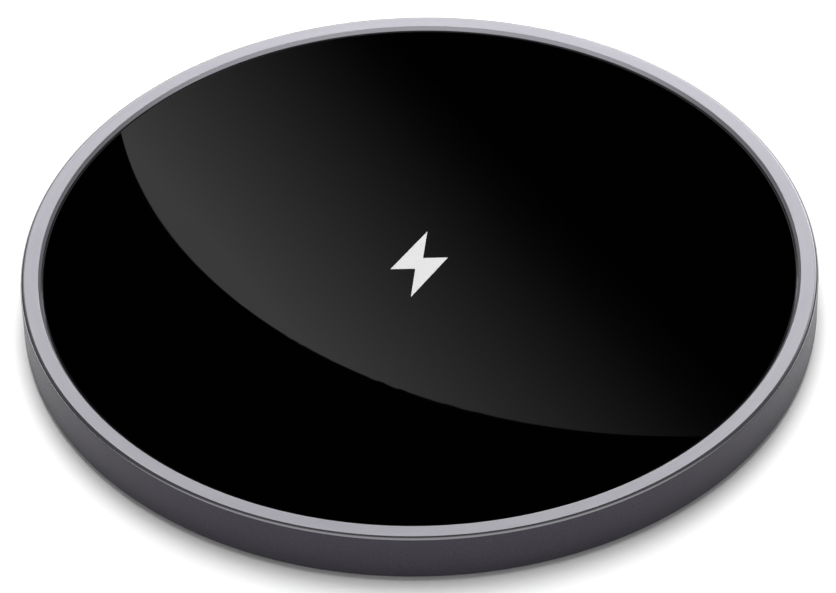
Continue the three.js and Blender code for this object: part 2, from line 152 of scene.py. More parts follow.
def turned_mesh(stretches, sides=ROUND_SIDES):
    """A bmesh turned about Z from stretches of (points, material index). The profile closes on itself
    unless it starts and ends on the axis."""
    profile = []
    for points, index in stretches:
        profile += [(r, z, index) for r, z in points]
    on_axis = profile[0][0] < 1e-9
    profile = supported(profile)[:-2] if on_axis else supported(profile)
    bm = bmesh.new()
    rings = []
    for r, z, _ in profile:
        if r < 1e-9:
            rings.append([bm.verts.new((0, 0, z))])
            continue
        turn = [2 * math.pi * i / sides for i in range(sides)]
        rings.append([bm.verts.new((r * math.cos(a), r * math.sin(a), z)) for a in turn])
    for i in range(len(rings) - 1 if on_axis else len(rings)):
        a, b = rings[i], rings[(i + 1) % len(rings)]
        for j in range(sides):
            k = (j + 1) % sides
            corners = [a[j % len(a)], a[k % len(a)], b[k % len(b)], b[j % len(b)]]
            corners = list(dict.fromkeys(corners))
            if len(corners) > 2:
                bm.faces.new(corners).material_index = profile[i][2]
    return bm


def turned(name, stretches, materials, sides=ROUND_SIDES):
    return finish_mesh(name, turned_mesh(stretches, sides), materials)


def rod_mesh(radius, low, high, sides, index=0):
    """An upright round rod on the Z axis."""
    return turned_mesh([([(0, low), (radius, low), (radius, high), (0, high)], index)], sides)


def stadium(width, height, steps=12):
    """A closed stadium outline in the XZ plane, about its own centre."""
    half = (width - height) / 2
    right = arc((half, 0), height / 2, -90, 90, steps)
    return right + arc((-half, 0), height / 2, 90, 270, steps)


def lofted_mesh(sections):
    """A closed bmesh through matching outlines, each a list of 3-D points, with flat ends."""
    bm = bmesh.new()
    loops = [[bm.verts.new(p) for p in section] for section in sections]
    for a, b in zip(loops, loops[1:]):
        for j in range(len(a)):
            k = (j + 1) % len(a)
            bm.faces.new([a[j], a[k], b[k], b[j]])
    bm.faces.new(loops[0])
    bm.faces.new(loops[-1])
    return bm


def joined(parts):
    """One bmesh from several, each given with its placement."""
    whole = bmesh.new()
    for part, placement in parts:
        bmesh.ops.transform(part, matrix=placement, verts=part.verts)
        spare = bpy.data.meshes.new("spare")
        part.to_mesh(spare)
        part.free()
        whole.from_mesh(spare)
        bpy.data.meshes.remove(spare)
    return whole


def at(x, y, z=0.0, turn=0.0):
    """A placement: turned about Z, in radians, then moved."""
    return Matrix.Translation((x, y, z)) @ Matrix.Rotation(turn, 4, "Z")


def block_mesh(size, bevel, index=0, segments=2):
    """A block with rounded edges that stands on z = 0 over the origin."""
    bm = bmesh.new()
    bmesh.ops.create_cube(bm, size=1)
    bmesh.ops.scale(bm, vec=size, verts=bm.verts)
    bmesh.ops.translate(bm, vec=(0, 0, size[2] / 2), verts=bm.verts)
    bmesh.ops.bevel(bm, geom=bm.edges[:], offset=bevel, segments=segments, affect="EDGES", profile=0.5)
    for face in bm.faces:
        face.material_index = index
    return bm


def plate_mesh(outline, bottom, top):
    """A flat plate between two levels from a 2-D outline."""
    return lofted_mesh([[(x, y, level) for x, y in outline] for level in (bottom, top)])


def bar_mesh(outline, stops, place=(0, 0)):
    """A bar along Y. Each stop is a depth and how far the outline is drawn in there; the outline is a
    function from that inset to 2-D points."""
    x0, z0 = place
    return lofted_mesh([[(x0 + x, y, z0 + z) for x, z in outline(inset)] for y, inset in stops])


def tube_mesh(route, radius, sides=12):
    """A round wire along a route that is never upright."""
    sections = []
    for i, point in enumerate(route):
        tangent = (route[min(i + 1, len(route) - 1)] - route[max(i - 1, 0)]).normalized()
        side = tangent.cross(Vector((0, 0, 1))).normalized()
        up = side.cross(tangent)
        turn = [2 * math.pi * k / sides for k in range(sides)]
        sections.append([point + radius * (side * math.cos(a) + up * math.sin(a)) for a in turn])
    return lofted_mesh(sections)


def smooth_route(points, steps=8):
    """A Catmull-Rom curve through the points."""
    points = [Vector(p) for p in points]
    padded = [2 * points[0] - points[1]] + points + [2 * points[-1] - points[-2]]
    route = []
    for a, b, c, d in zip(padded, padded[1:], padded[2:], padded[3:]):
        for i in range(steps):
            t = i / steps
            bend = (2 * a - 5 * b + 4 * c - d) * t ** 2 + (3 * b - 3 * c + d - a) * t ** 3
            route.append((2 * b + (c - a) * t + bend) / 2)
    return route + [points[-1]]


def middle(node):
    low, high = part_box(node)
    return (low + high) / 2


def boolean(piece, tool, operation):
    """Joins a tool to a piece or cuts it out, then removes the tool."""
    modifier = piece.modifiers.new("boolean", "BOOLEAN")
    modifier.operation = operation
    modifier.solver = "EXACT"
    modifier.material_mode = "TRANSFER"
    modifier.object = tool
    depsgraph = bpy.context.evaluated_depsgraph_get()
    mesh = bpy.data.meshes.new_from_object(piece.evaluated_get(depsgraph))
    piece.modifiers.clear()
    old = piece.data
    piece.data = mesh
    bpy.data.meshes.remove(old)
    bpy.data.objects.remove(tool)
    mesh.set_sharp_from_angle(angle=SHARP_ANGLE)
    return piece


def stand_for(piece, slot, *nodes):
    """The piece rides on the body and replaces its CAD nodes. The slot is not used."""
    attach(piece, "root")
    if nodes:
        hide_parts(*nodes)
    return piece


# ---- Material helpers ----
class Nodes:
    """A small wrapper that adds nodes and links to one material."""

    def __init__(self, holder):
        holder.use_nodes = True
        self.material = holder
        self.tree = holder.node_tree
        self.shader = self.tree.nodes.get("Principled BSDF")

    def add(self, kind, **settings):
        node = self.tree.nodes.new(kind)
        for key, value in settings.items():
            if key in node.inputs:
                node.inputs[key].default_value = value
            else:
                setattr(node, key, value)
        return node

    def link(self, source, target):
        self.tree.links.new(source, target)

    def set(self, **values):
        for key, value in values.items():
            self.shader.inputs[key.replace("_", " ")].default_value = value

    def math(self, operation, a, b=None):
        node = self.add("ShaderNodeMath", operation=operation)
        for socket, value in zip(node.inputs, (a, b)):
            if value is None:
                continue
            if isinstance(value, (int, float)):
                socket.default_value = value
            else:
                self.link(value, socket)
        return node.outputs[0]

    def span(self, value, low, high, from_low=0.0, from_high=1.0):
        """Maps a value to a new range."""
        node = self.add("ShaderNodeMapRange")
        node.inputs["From Min"].default_value = from_low
        node.inputs["From Max"].default_value = from_high
        node.inputs["To Min"].default_value = low
        node.inputs["To Max"].default_value = high
        self.link(value, node.inputs["Value"])
        return node.outputs[0]

    def soft_step(self, value, off, on):
        """A smooth rise from 0 at off to 1 at on."""
        node = self.add("ShaderNodeMapRange", interpolation_type="SMOOTHSTEP")
        node.inputs["From Min"].default_value = off
        node.inputs["From Max"].default_value = on
        self.link(value, node.inputs["Value"])
        return node.outputs[0]

    def blend(self, factor, first, second):
        """A colour between two, by a factor socket."""
        node = self.add("ShaderNodeMix", data_type="RGBA")
        self.link(factor, node.inputs["Factor"])
        for socket, value in (("A", first), ("B", second)):
            colours = [s for s in node.inputs if s.name == socket and s.type == "RGBA"]
            colours[0].default_value = (*value, 1)
        return [s for s in node.outputs if s.type == "RGBA"][0]

    def place(self):
        return self.add("ShaderNodeTexCoord").outputs["Object"]

    def noise(self, vector, scale, detail=3.0, roughness=0.55):
        node = self.add("ShaderNodeTexNoise")
        node.inputs["Scale"].default_value = scale
        node.inputs["Detail"].default_value = detail
        node.inputs["Roughness"].default_value = roughness
        self.link(vector, node.inputs["Vector"])
        return node.outputs["Fac"]

    def turned_noise(self, across, around, detail=2.0):
        """Noise that runs round the Z axis, as brushing on a lathe leaves it: fine across the brushing
        and long round it. across and around are in cycles a metre and cycles a turn."""
        place = self.place()
        flat = self.add("ShaderNodeVectorMath", operation="MULTIPLY")
        flat.inputs[1].default_value = (1, 1, 0)
        self.link(place, flat.inputs[0])
        length = self.add("ShaderNodeVectorMath", operation="LENGTH")
        self.link(flat.outputs[0], length.inputs[0])
        direction = self.add("ShaderNodeVectorMath", operation="NORMALIZE")
        self.link(flat.outputs[0], direction.inputs[0])
        slow = self.add("ShaderNodeVectorMath", operation="SCALE")
        slow.inputs["Scale"].default_value = around
        self.link(direction.outputs[0], slow.inputs[0])
        split = self.add("ShaderNodeSeparateXYZ")
        self.link(place, split.inputs[0])
        height = self.math("MULTIPLY", split.outputs["Z"], across)
        raised = self.add("ShaderNodeCombineXYZ")
        turn = self.add("ShaderNodeSeparateXYZ")
        self.link(slow.outputs[0], turn.inputs[0])
        self.link(turn.outputs["X"], raised.inputs["X"])
        self.link(turn.outputs["Y"], raised.inputs["Y"])
        self.link(height, raised.inputs["Z"])
        noise = self.add("ShaderNodeTexNoise", noise_dimensions="4D")
        noise.inputs["Scale"].default_value = 1.0
        noise.inputs["Detail"].default_value = detail
        self.link(raised.outputs[0], noise.inputs["Vector"])
        self.link(self.math("MULTIPLY", length.outputs["Value"], across), noise.inputs["W"])
        return noise.outputs["Fac"]

    def bump(self, height, strength, distance):
        node = self.add("ShaderNodeBump")
        node.inputs["Strength"].default_value = strength
        node.inputs["Distance"].default_value = distance
        self.link(height, node.inputs["Height"])
        self.link(node.outputs["Normal"], self.shader.inputs["Normal"])


def turned_aluminium(name, dark, light, smooth, rough, metallic):
    """Anodised aluminium with fine brushing round the ring. Below 1, metallic leaves some diffuse light
    from the oxide layer."""
    m = Nodes(bpy.data.materials.new(name))
    brushing = m.turned_noise(12000, 16)
    cloud = m.turned_noise(500, 3)
    m.link(m.blend(m.span(cloud, 0, 1, 0.3, 0.7), dark, light), m.shader.inputs["Base Color"])
    m.link(m.span(brushing, smooth, rough, 0.3, 0.7), m.shader.inputs["Roughness"])
    m.set(Metallic=metallic)
    m.bump(brushing, 0.08, 0.003 * MM)
    return m.material


def blasted_aluminium():
    """The same aluminium in a darker, bead-blasted gunmetal: the ring's side wall."""
    m = Nodes(bpy.data.materials.new("blasted_aluminium"))
    grain = m.noise(m.place(), 4200, 5, 0.6)
    colour = m.blend(m.span(grain, 0, 1, 0.3, 0.7), (0.042, 0.039, 0.0485), (0.068, 0.063, 0.076))
    m.link(colour, m.shader.inputs["Base Color"])
    m.link(m.span(grain, 0.36, 0.52, 0.3, 0.7), m.shader.inputs["Roughness"])
    m.set(Metallic=1.0)
    m.bump(grain, 0.4, 0.02 * MM)
    return m.material


def black_glass():
    """Polished glass, printed black on its back, so it is opaque."""
    m = Nodes(bpy.data.materials.new("black_glass"))
    haze = m.noise(m.place(), 60, 3)
    colour = m.blend(haze, (0.0001, 0.0001, 0.0001), (0.0003, 0.0003, 0.0003))
    m.link(colour, m.shader.inputs["Base Color"])
    m.link(m.span(haze, 0.004, 0.009, 0.3, 0.7), m.shader.inputs["Roughness"])
    m.set(IOR=1.5)
    return m.material


def grained(name, first, second, scale, smooth, rough, relief=0.1, metallic=0.0, stretch=(1, 1, 1)):
    """A material with fine grain in its colour, its gloss and its surface."""
    m = Nodes(bpy.data.materials.new(name))
    spread = m.add("ShaderNodeVectorMath", operation="MULTIPLY")
    spread.inputs[1].default_value = stretch
    m.link(m.place(), spread.inputs[0])
    grain = m.noise(spread.outputs[0], scale, 4)
    broad = m.noise(spread.outputs[0], scale / 12, 2)
    m.link(m.blend(m.span(broad, 0, 1, 0.3, 0.7), first, second), m.shader.inputs["Base Color"])
    m.link(m.span(grain, smooth, rough, 0.3, 0.7), m.shader.inputs["Roughness"])
    m.set(Metallic=metallic)
    m.bump(grain, relief, 0.02 * MM)
    return m


def foam_cells():
    m = grained("foam_cells", (0.012, 0.012, 0.013), (0.025, 0.025, 0.027), 2500, 0.85, 1.0)
    cells = m.add("ShaderNodeTexVoronoi", Scale=2600.0)
    m.link(m.place(), cells.inputs["Vector"])
    m.bump(cells.outputs["Distance"], 0.8, 0.12 * MM)
    return m.material


def litz_copper():
    """Enamelled strands that lie aslant along the wire."""
    m = grained("litz_copper", (0.55, 0.20, 0.075), (0.72, 0.30, 0.12), 2500, 0.28, 0.42, 0.1, 1.0)
    strands = m.add("ShaderNodeTexWave", Scale=900.0, Distortion=2.5, bands_direction="DIAGONAL")
    m.link(m.place(), strands.inputs["Vector"])
    m.bump(strands.outputs["Fac"], 0.6, 0.06 * MM)
    return m.material


def solder_mask():
    """Green mask over copper tracks: the tracks show as slightly lighter, raised paths."""
    m = grained("solder_mask", (0.004, 0.05, 0.022), (0.006, 0.065, 0.03), 2000, 0.28, 0.4)
    tracks = m.add("ShaderNodeTexBrick", Scale=420.0, offset=0.37, squash=1.6)
    tracks.inputs["Mortar Size"].default_value = 0.035
    m.link(m.place(), tracks.inputs["Vector"])
    colour = m.blend(tracks.outputs["Fac"], (0.005, 0.055, 0.025), (0.02, 0.15, 0.065))
    m.link(colour, m.shader.inputs["Base Color"])
    m.bump(tracks.outputs["Fac"], 0.3, 0.03 * MM)
    return m.material


def clear_plastic():
    m = grained("clear_plastic", (0.80, 0.83, 0.85), (0.88, 0.90, 0.91), 900, 0.08, 0.18, 0.05)
    m.set(IOR=1.49)
    m.shader.inputs["Transmission Weight"].default_value = 0.75
    return m.material


def silicone():
    """Matt silicone with a trace of dust in its surface."""
    m = grained("silicone", (0.012, 0.012, 0.013), (0.022, 0.022, 0.024), 1800, 0.68, 0.85, 0.25)
    m.shader.inputs["Sheen Weight"].default_value = 0.15
    return m.material


def moulded_plastic():
    """Black plastic with a fine spark-eroded texture."""
    m = grained("moulded_plastic", (0.009, 0.009, 0.010), (0.014, 0.014, 0.015), 2600, 0.42, 0.6, 0.45)
    return m.material


def white_print():
    m = Nodes(bpy.data.materials.new("white_print"))
    speckle = m.noise(m.place(), 3000, 3)
    m.link(m.blend(speckle, (0.535, 0.535, 0.535), (0.59, 0.59, 0.59)), m.shader.inputs["Base Color"])
    m.set(Roughness=0.45, IOR=1.4)
    m.bump(speckle, 0.1, 0.004 * MM)
    return m.material


def table_white():
    m = Nodes(bpy.data.materials.new("table_white"))
    m.set(Base_Color=(0.92, 0.92, 0.92, 1), Roughness=0.9)
    m.shader.inputs["Specular IOR Level"].default_value = 0.0
    return m.material


BRUSHED = turned_aluminium("brushed_aluminium", (0.575, 0.566, 0.624), (0.63, 0.621, 0.679), 0.28, 0.33, 0.84)
POLISHED = turned_aluminium("polished_aluminium", (0.46, 0.455, 0.49), (0.50, 0.495, 0.53), 0.18, 0.22, 1.0)
BLASTED = blasted_aluminium()
BLACK_GLASS = black_glass()
WHITE_PRINT = white_print()
FOAM = foam_cells()
LITZ = litz_copper()
MASK = solder_mask()
CLEAR = clear_plastic()
SILICONE = silicone()
PLASTIC = moulded_plastic()
TAPE = grained("tape", (0.010, 0.010, 0.011), (0.018, 0.018, 0.019), 1500, 0.6, 0.8, 0.2).material
FERRITE = grained("ferrite", (0.028, 0.030, 0.034), (0.045, 0.047, 0.052), 1200, 0.5, 0.7, 0.2).material
LAMINATE = grained("laminate", (0.30, 0.26, 0.12), (0.38, 0.33, 0.17), 1800, 0.55, 0.7).material
EPOXY = grained("chip_epoxy", (0.010, 0.010, 0.011), (0.016, 0.016, 0.017), 2200, 0.45, 0.6, 0.2).material
CERAMIC = grained("capacitor_ceramic", (0.30, 0.19, 0.10), (0.38, 0.25, 0.14), 1600, 0.35, 0.5).material
INSULATION = grained("wire_insulation", (0.30, 0.012, 0.010), (0.40, 0.020, 0.016), 1400, 0.35, 0.5).material
TIN = grained("tin", (0.62, 0.61, 0.58), (0.74, 0.73, 0.70), 1500, 0.25, 0.42, 0.15, 1.0).material
GOLD = grained("gold_plate", (0.80, 0.56, 0.22), (0.90, 0.66, 0.30), 1500, 0.18, 0.3, 0.05, 1.0).material
PHOSPHOR = grained("led_phosphor", (0.75, 0.68, 0.30), (0.85, 0.80, 0.42), 1500, 0.3, 0.45).material
SCREW_STEEL = grained(
    "screw_steel", (0.42, 0.42, 0.43), (0.55, 0.55, 0.56), 1200, 0.25, 0.4, 0.1, 1.0
).material
DRAWN_GRAIN = (1, 0.08, 1)  # long in the direction in which the shell is drawn
PORT_STEEL = grained(
    "port_steel", (0.50, 0.50, 0.51), (0.62, 0.62, 0.63), 1500, 0.24, 0.36, 0.12, 1.0, DRAWN_GRAIN
).material


# ---- Ring ----
def through_wall(outline, x0, level, stops):
    """A cutter along Y whose stops follow the round outside of the ring: each is a depth behind that
    outside and how far the outline is drawn in."""
    sections = []
    for depth, inset in stops:
        section = []
        for x, z in outline(inset):
            section.append((x0 + x, math.sqrt(RING_RADIUS ** 2 - (x0 + x) ** 2) - depth, level + z))
        sections.append(section)
    return lofted_mesh(sections)


def port_outline(inset):
    grown = FIT_GAP - inset
    return stadium(PORT_WIDTH + 2 * grown, PORT_HEIGHT + 2 * grown)


def guide_outline(inset):
    return arc((0, 0), GUIDE_RADIUS + FIT_GAP - inset, 0, 345, 23)


PORT_DEPTH = 8 * MM  # of each cutter behind the ring's outside
GUIDE_DEPTH = 4 * MM
PILOT_RADIUS = 1 * MM  # of the hole for a cover screw


def flared(deep):
    """Stops of an opening with a small chamfer at its mouth."""
    return [(deep, 0), (OPENING_FLARE, 0), (-OPENING_FLARE, -2 * OPENING_FLARE)]


def screw_lug(x, y, bottom, top):
    """A half-round lug on the wall, with its flat side outwards."""
    reach = RING_RADIUS - RING_WALL / 2 - math.hypot(x, y)
    outline = [(reach, -LUG_RADIUS), (reach, LUG_RADIUS)] + arc((0, 0), LUG_RADIUS, 90, 270, 24)
    return plate_mesh(outline, bottom, top), at(x, y, 0, math.atan2(y, x))


def with_openings(ring):
    ledge_bottom = glass_low.z - FIT_GAP - LEDGE_THICKNESS
    lug_bottom = COVER_TOP + FIT_GAP
    places = [middle(node) for node in COVER_SCREWS]
    lugs = [screw_lug(p.x, p.y, lug_bottom, ledge_bottom + LEDGE_THICKNESS / 2) for p in places]
    boolean(ring, finish_mesh("lugs", joined(lugs), [BRUSHED]), "UNION")
    cutters = [
        (through_wall(port_outline, 0, PORT_LEVEL, flared(PORT_DEPTH)), Matrix()),
        (through_wall(guide_outline, GUIDE_OFFSET, GUIDE_LEVEL, flared(GUIDE_DEPTH)), Matrix()),
    ]
    pilot_low = lug_bottom - 1 * MM
    pilot_high = ledge_bottom - FIT_GAP
    cutters += [(rod_mesh(PILOT_RADIUS, pilot_low, pilot_high, 24), at(p.x, p.y)) for p in places]
    return boolean(ring, finish_mesh("openings", joined(cutters), [BRUSHED]), "DIFFERENCE")


def bezel_ring():
    wall = RING_RADIUS - RING_WALL
    bezel = RING_RADIUS - BEZEL_WIDTH
    mouth = bezel - BEZEL_CHAMFER
    ledge_top = glass_low.z - FIT_GAP
    ledge_bottom = ledge_top - LEDGE_THICKNESS
    edge_centre = (RING_RADIUS - EDGE_WIDTH, RING_TOP - EDGE_HEIGHT)
    bottom = ring_low.z
    side = arc((RING_RADIUS - BOTTOM_ROUND, bottom + BOTTOM_ROUND), BOTTOM_ROUND, -90, 0, 8)
    side += arc(edge_centre, EDGE_WIDTH, 0, SIDE_EDGE_ANGLE, 4, EDGE_HEIGHT)[:-1]
    edge = arc(edge_centre, EDGE_WIDTH, SIDE_EDGE_ANGLE, 90, 16, EDGE_HEIGHT)
    slope = math.degrees(math.atan2(BEZEL_CHAMFER_DEPTH, BEZEL_CHAMFER))
    inner = arc((bezel + INNER_ROUND, RING_TOP - INNER_ROUND), INNER_ROUND, 90, 90 + slope, 6)
    lip_centre = (mouth + TINY_ROUND, RING_TOP - BEZEL_CHAMFER_DEPTH - TINY_ROUND)
    lip = arc(lip_centre, TINY_ROUND, 90 + slope, 180, 3)
    inside = [
        (mouth, ledge_top),
        (mouth - LEDGE_WIDTH, ledge_top),
        (mouth - LEDGE_WIDTH, ledge_bottom),
        (wall, ledge_bottom),
        (wall, bottom),
    ]
    stretches = [(side, 0), (edge[:-1], 1), (edge[-1:] + inner + lip + inside, 2)]
    return with_openings(turned("bezel_ring_turned", stretches, [BLASTED, POLISHED, BRUSHED]))


def top_glass():
    radius = glass_high.x
    edge_round = 0.08 * MM
    low_round = 0.1 * MM
    low, high = glass_low.z, glass_high.z
    profile = (
        [(0, low)]
        + arc((radius - low_round, low + low_round), low_round, -90, 0, 4)
        + arc((radius - edge_round, high - edge_round), edge_round, 0, 90, 10)
        + [(0, high)]
    )
    return turned("top_glass_polished", [(profile, 0)], [BLACK_GLASS])


stand_for(bezel_ring(), "ring_aluminium", "bezel_ring")
stand_for(top_glass(), "black_glass", "top_glass")


# ---- Bottom cover, foot and screws ----
BOSS_RADIUS = 2 * MM
BOARD_HOLE_RADIUS = 0.8 * MM
SINK_RADIUS = 1.7 * MM
SINK_DEPTH = 0.4 * MM
HOLE_RADIUS = 1 * MM


def bottom_cover():
    """A moulded disc with a groove for the foot, two bosses for the board and countersunk holes."""
    low, top = cover_low.z, COVER_TOP
    groove_top = foot_high.z + 2 * BOND_GAP
    radius = cover_high.x
    foot_outer = foot_high.x + FIT_GAP
    foot_inner = foot_high.x - FOOT_WIDTH - FIT_GAP
    edge = 0.2 * MM
    small = 0.08 * MM
    profile = [(0, low)]
    profile += arc((foot_inner - small, low + small), small, -90, 0, 4)
    profile += [(foot_inner, groove_top), (foot_outer, groove_top)]
    profile += arc((foot_outer + small, low + small), small, 180, 270, 4)
    profile += arc((radius - edge, low + edge), edge, -90, 0, 6)
    profile += [(radius, top), (0, top)]
    cover = turned("bottom_cover_moulded", [(profile, 0)], [PLASTIC])
    sink = [
        (0, groove_top - MM),
        (SINK_RADIUS, groove_top - MM),
        (SINK_RADIUS, groove_top + BOND_GAP),
        (HOLE_RADIUS, groove_top + SINK_DEPTH),
        (HOLE_RADIUS, top + MM),
        (0, top + MM),
    ]
    bosses = []
    cutters = []
    for node in BOARD_SCREWS:
        place = middle(node)
        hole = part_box(node)[0].z - BOND_GAP
        bosses.append((rod_mesh(BOSS_RADIUS, top - 0.2 * MM, cover_high.z, 32), at(place.x, place.y)))
        cutters.append((rod_mesh(BOARD_HOLE_RADIUS, hole, cover_high.z + MM, 24), at(place.x, place.y)))
    for node in COVER_SCREWS:
        place = middle(node)
        cutters.append((turned_mesh([(sink, 0)], 32), at(place.x, place.y)))
    boolean(cover, finish_mesh("bosses", joined(bosses), [PLASTIC]), "UNION")
    return boolean(cover, finish_mesh("cover_holes", joined(cutters), [PLASTIC]), "DIFFERENCE")


def foot_ring():
    """A flat silicone ring with rounded edges and fine concentric ribs underneath."""
    outer = foot_high.x
    inner = outer - FOOT_WIDTH
    low, high = foot_low.z, foot_high.z
    edge = 0.18 * MM
    rib_count = 12
    rib_depth = 0.07 * MM
    plain = 1.4 * MM  # the flat rim beside the ribs
    pitch = (FOOT_WIDTH - 2 * plain) / rib_count
    profile = arc((inner + edge, low + edge), edge, 180, 270, 6)
    for i in range(rib_count):
        start = inner + plain + i * pitch
        profile += [(start, low), (start + 0.2 * pitch, low + rib_depth)]
        profile += [(start + 0.5 * pitch, low + rib_depth), (start + 0.7 * pitch, low)]
    profile += arc((outer - edge, low + edge), edge, -90, 0, 6)
    profile += [(outer, high), (inner, high)]
    return turned("foot_ring_ribbed", [(profile, 0)], [SILICONE])


def cross_recess(head, inward, reach):
    """A cutter for a cross recess: two tapered bars that cross, from the head's face inwards."""
    parts = []
    depth = 0.55 * reach
    for turn in (0, math.pi / 2):
        half_long, half_wide = reach, 0.22 * reach
        sections = []
        for step, share in ((-0.3, 1.15), (0, 1), (1, 0.55)):
            level = head + inward * depth * step
            x, y = half_long * share, half_wide * share
            sections.append([(-x, -y, level), (x, -y, level), (x, y, level), (-x, y, level)])
        parts.append((lofted_mesh(sections), at(0, 0, 0, turn)))
    return parts


def threaded_shank(radius, low, high, pitch=0.4 * MM):
    """Zigzag points up the shank of a screw."""
    points = []
    depth = 0.15 * MM
    turns = int((high - low) / pitch)
    for i in range(turns):
        points += [(radius - depth, low + i * pitch), (radius, low + (i + 0.5) * pitch)]
    return points + [(radius - depth, low + turns * pitch)]


def screw(name, node, points, head, inward, reach):
    piece = turned(name, [(points, 0)], [SCREW_STEEL], 32)
    for cutter, placement in cross_recess(head, inward, reach):
        boolean(piece, finish_mesh("recess", joined([(cutter, placement)]), [SCREW_STEEL]), "DIFFERENCE")
    place = middle(node)
    piece.data.transform(at(place.x, place.y))
    return stand_for(piece, "steel", node)


def cover_screw(node):
    low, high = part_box(node)
    head_radius = (high.x - low.x) / 2
    shank = 0.8 * MM
    head_height = 0.4 * MM
    points = [(0, low.z), (head_radius - 0.05 * MM, low.z), (head_radius, low.z + 0.05 * MM)]
    points += threaded_shank(shank, low.z + head_height + 0.2 * MM, high.z - 0.2 * MM)
    points += [(0.3 * MM, high.z), (0, high.z)]
    return screw(node + "_cross", node, points, low.z, 1, 0.85 * MM)


def board_screw(node):
    low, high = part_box(node)
    head_radius = (high.x - low.x) / 2
    head_height = 0.5 * MM
    head_low = high.z - head_height
    points = [(0, low.z), (0.25 * MM, low.z)]
    points += threaded_shank(0.6 * MM, low.z + 0.15 * MM, head_low)
    points += [(head_radius, head_low)]
    points += arc((head_radius - 0.2 * MM, high.z - 0.2 * MM), 0.2 * MM, 0, 90, 5)
    points += [(0, high.z)]
    return screw(node + "_cross", node, points, high.z, -1, 0.7 * MM)


stand_for(bottom_cover(), "black_plastic", "bottom_cover")
stand_for(foot_ring(), "silicone", "foot_ring")
for screw_node in COVER_SCREWS:
    cover_screw(screw_node)
for screw_node in BOARD_SCREWS:
    board_screw(screw_node)


# ---- USB-C inlet ----
REAR_ROUND = 0.3 * MM


def usb_shell():
    """A drawn cup of stadium section with a rounded lip, closed at its rear."""
    def outline(inset):
        return stadium(PORT_WIDTH - 2 * inset, PORT_HEIGHT - 2 * inset)

    rear, mouth = shell_low.y, shell_high.y
    lip = PORT_SHEET / 2
    stops = []
    for angle in quarter(1, 0, 5):
        inset = REAR_ROUND * (1 - math.cos(angle))
        stops.append((rear + REAR_ROUND * (1 - math.sin(angle)), inset))
    for i in range(9):
        angle = math.pi * i / 8
        stops.append((mouth - lip + lip * math.sin(angle), lip - lip * math.cos(angle)))
    stops.append((rear + PORT_SHEET, PORT_SHEET))
    return finish_mesh("usb_shell_drawn", bar_mesh(outline, stops, (0, PORT_LEVEL)), [PORT_STEEL])


def usb_tongue():
    """A stepped plastic tongue on a base, with gold contacts above and below."""
    low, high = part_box("usb_tongue")
    base_width = high.x - low.x
    base_height = high.z - low.z
    base_depth = 1.6 * MM
    tongue_width, thickness = 6.7 * MM, 0.7 * MM

    def base_outline(inset):
        return stadium(base_width - 2 * inset, base_height - 2 * inset)

    def blade_outline(inset):
        return stadium(tongue_width - 2 * inset, thickness - 2 * inset, 6)

    def step_outline(inset):
        return stadium(tongue_width, 1.5 * thickness, 6)

    base = [(low.y, 0), (low.y + base_depth - 0.1 * MM, 0), (low.y + base_depth, 0.1 * MM)]
    step = [(low.y + base_depth - 0.2 * MM, 0), (low.y + base_depth + 0.9 * MM, 0)]
    blade = [(low.y + base_depth, 0), (high.y - 0.12 * MM, 0), (high.y, 0.12 * MM)]
    place = (0, PORT_LEVEL)
    parts = [
        (bar_mesh(base_outline, base, place), Matrix()),
        (bar_mesh(step_outline, step, place), Matrix()),
        (bar_mesh(blade_outline, blade, place), Matrix()),
    ]
    count, pitch = 12, 0.5 * MM
    start = low.y + base_depth + 1.0 * MM
    length = high.y - 0.45 * MM - start
    for i in range(count):
        x = (i - (count - 1) / 2) * pitch
        for side in (-1, 1):
            contact = block_mesh((0.26 * MM, length, 0.06 * MM), 0.015 * MM, 1, 1)
            level = PORT_LEVEL + side * (thickness / 2) - 0.03 * MM
            parts.append((contact, at(x, start + length / 2, level)))
    return finish_mesh("usb_tongue_contacts", joined(parts), [PLASTIC, GOLD])


stand_for(usb_shell(), "port_steel", "usb_shell")
stand_for(usb_tongue(), "black_plastic", "usb_tongue")


# ---- Status light ----
def light_guide():
    def outline(inset):
        return arc((0, 0), GUIDE_RADIUS - inset, 0, 345, 23)

    chamfer = 0.05 * MM
    dome = 0.25 * MM
    stops = [(guide_low.y, chamfer), (guide_low.y + chamfer, 0)]
    for angle in quarter(0, 1, 8):
        inset = 0.9 * GUIDE_RADIUS * (1 - math.cos(angle))
        stops.append((guide_high.y - dome * (1 - math.sin(angle)), inset))
    bar = bar_mesh(outline, stops, (GUIDE_OFFSET, GUIDE_LEVEL))
    return finish_mesh("light_guide_domed", bar, [CLEAR])


def status_led():
    """A pale body with tinned ends and a square of phosphor on the side that faces the guide."""
    low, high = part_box("status_led")
    width, depth, height = high - low
    body = block_mesh((width * 0.7, depth, height), 0.04 * MM)
    parts = [(body, at(0, 0))]
    for side in (-1, 1):
        end = block_mesh((width * 0.17, depth * 0.96, height * 0.5), 0.03 * MM, 1)
        parts.append((end, at(side * width * 0.41, 0)))
    lens = block_mesh((width * 0.45, 0.1 * MM, height * 0.7), 0.03 * MM, 2)
    parts.append((lens, at(0, depth / 2 - 0.04 * MM, height * 0.15)))
    place = (low + high) / 2
    piece = finish_mesh("status_led_body", joined(parts), [WHITE_PRINT, TIN, PHOSPHOR])
    piece.data.transform(at(place.x, place.y, low.z))
    return piece


stand_for(light_guide(), "clear_plastic", "light_guide")
stand_for(status_led(), "clear_plastic", "status_led")


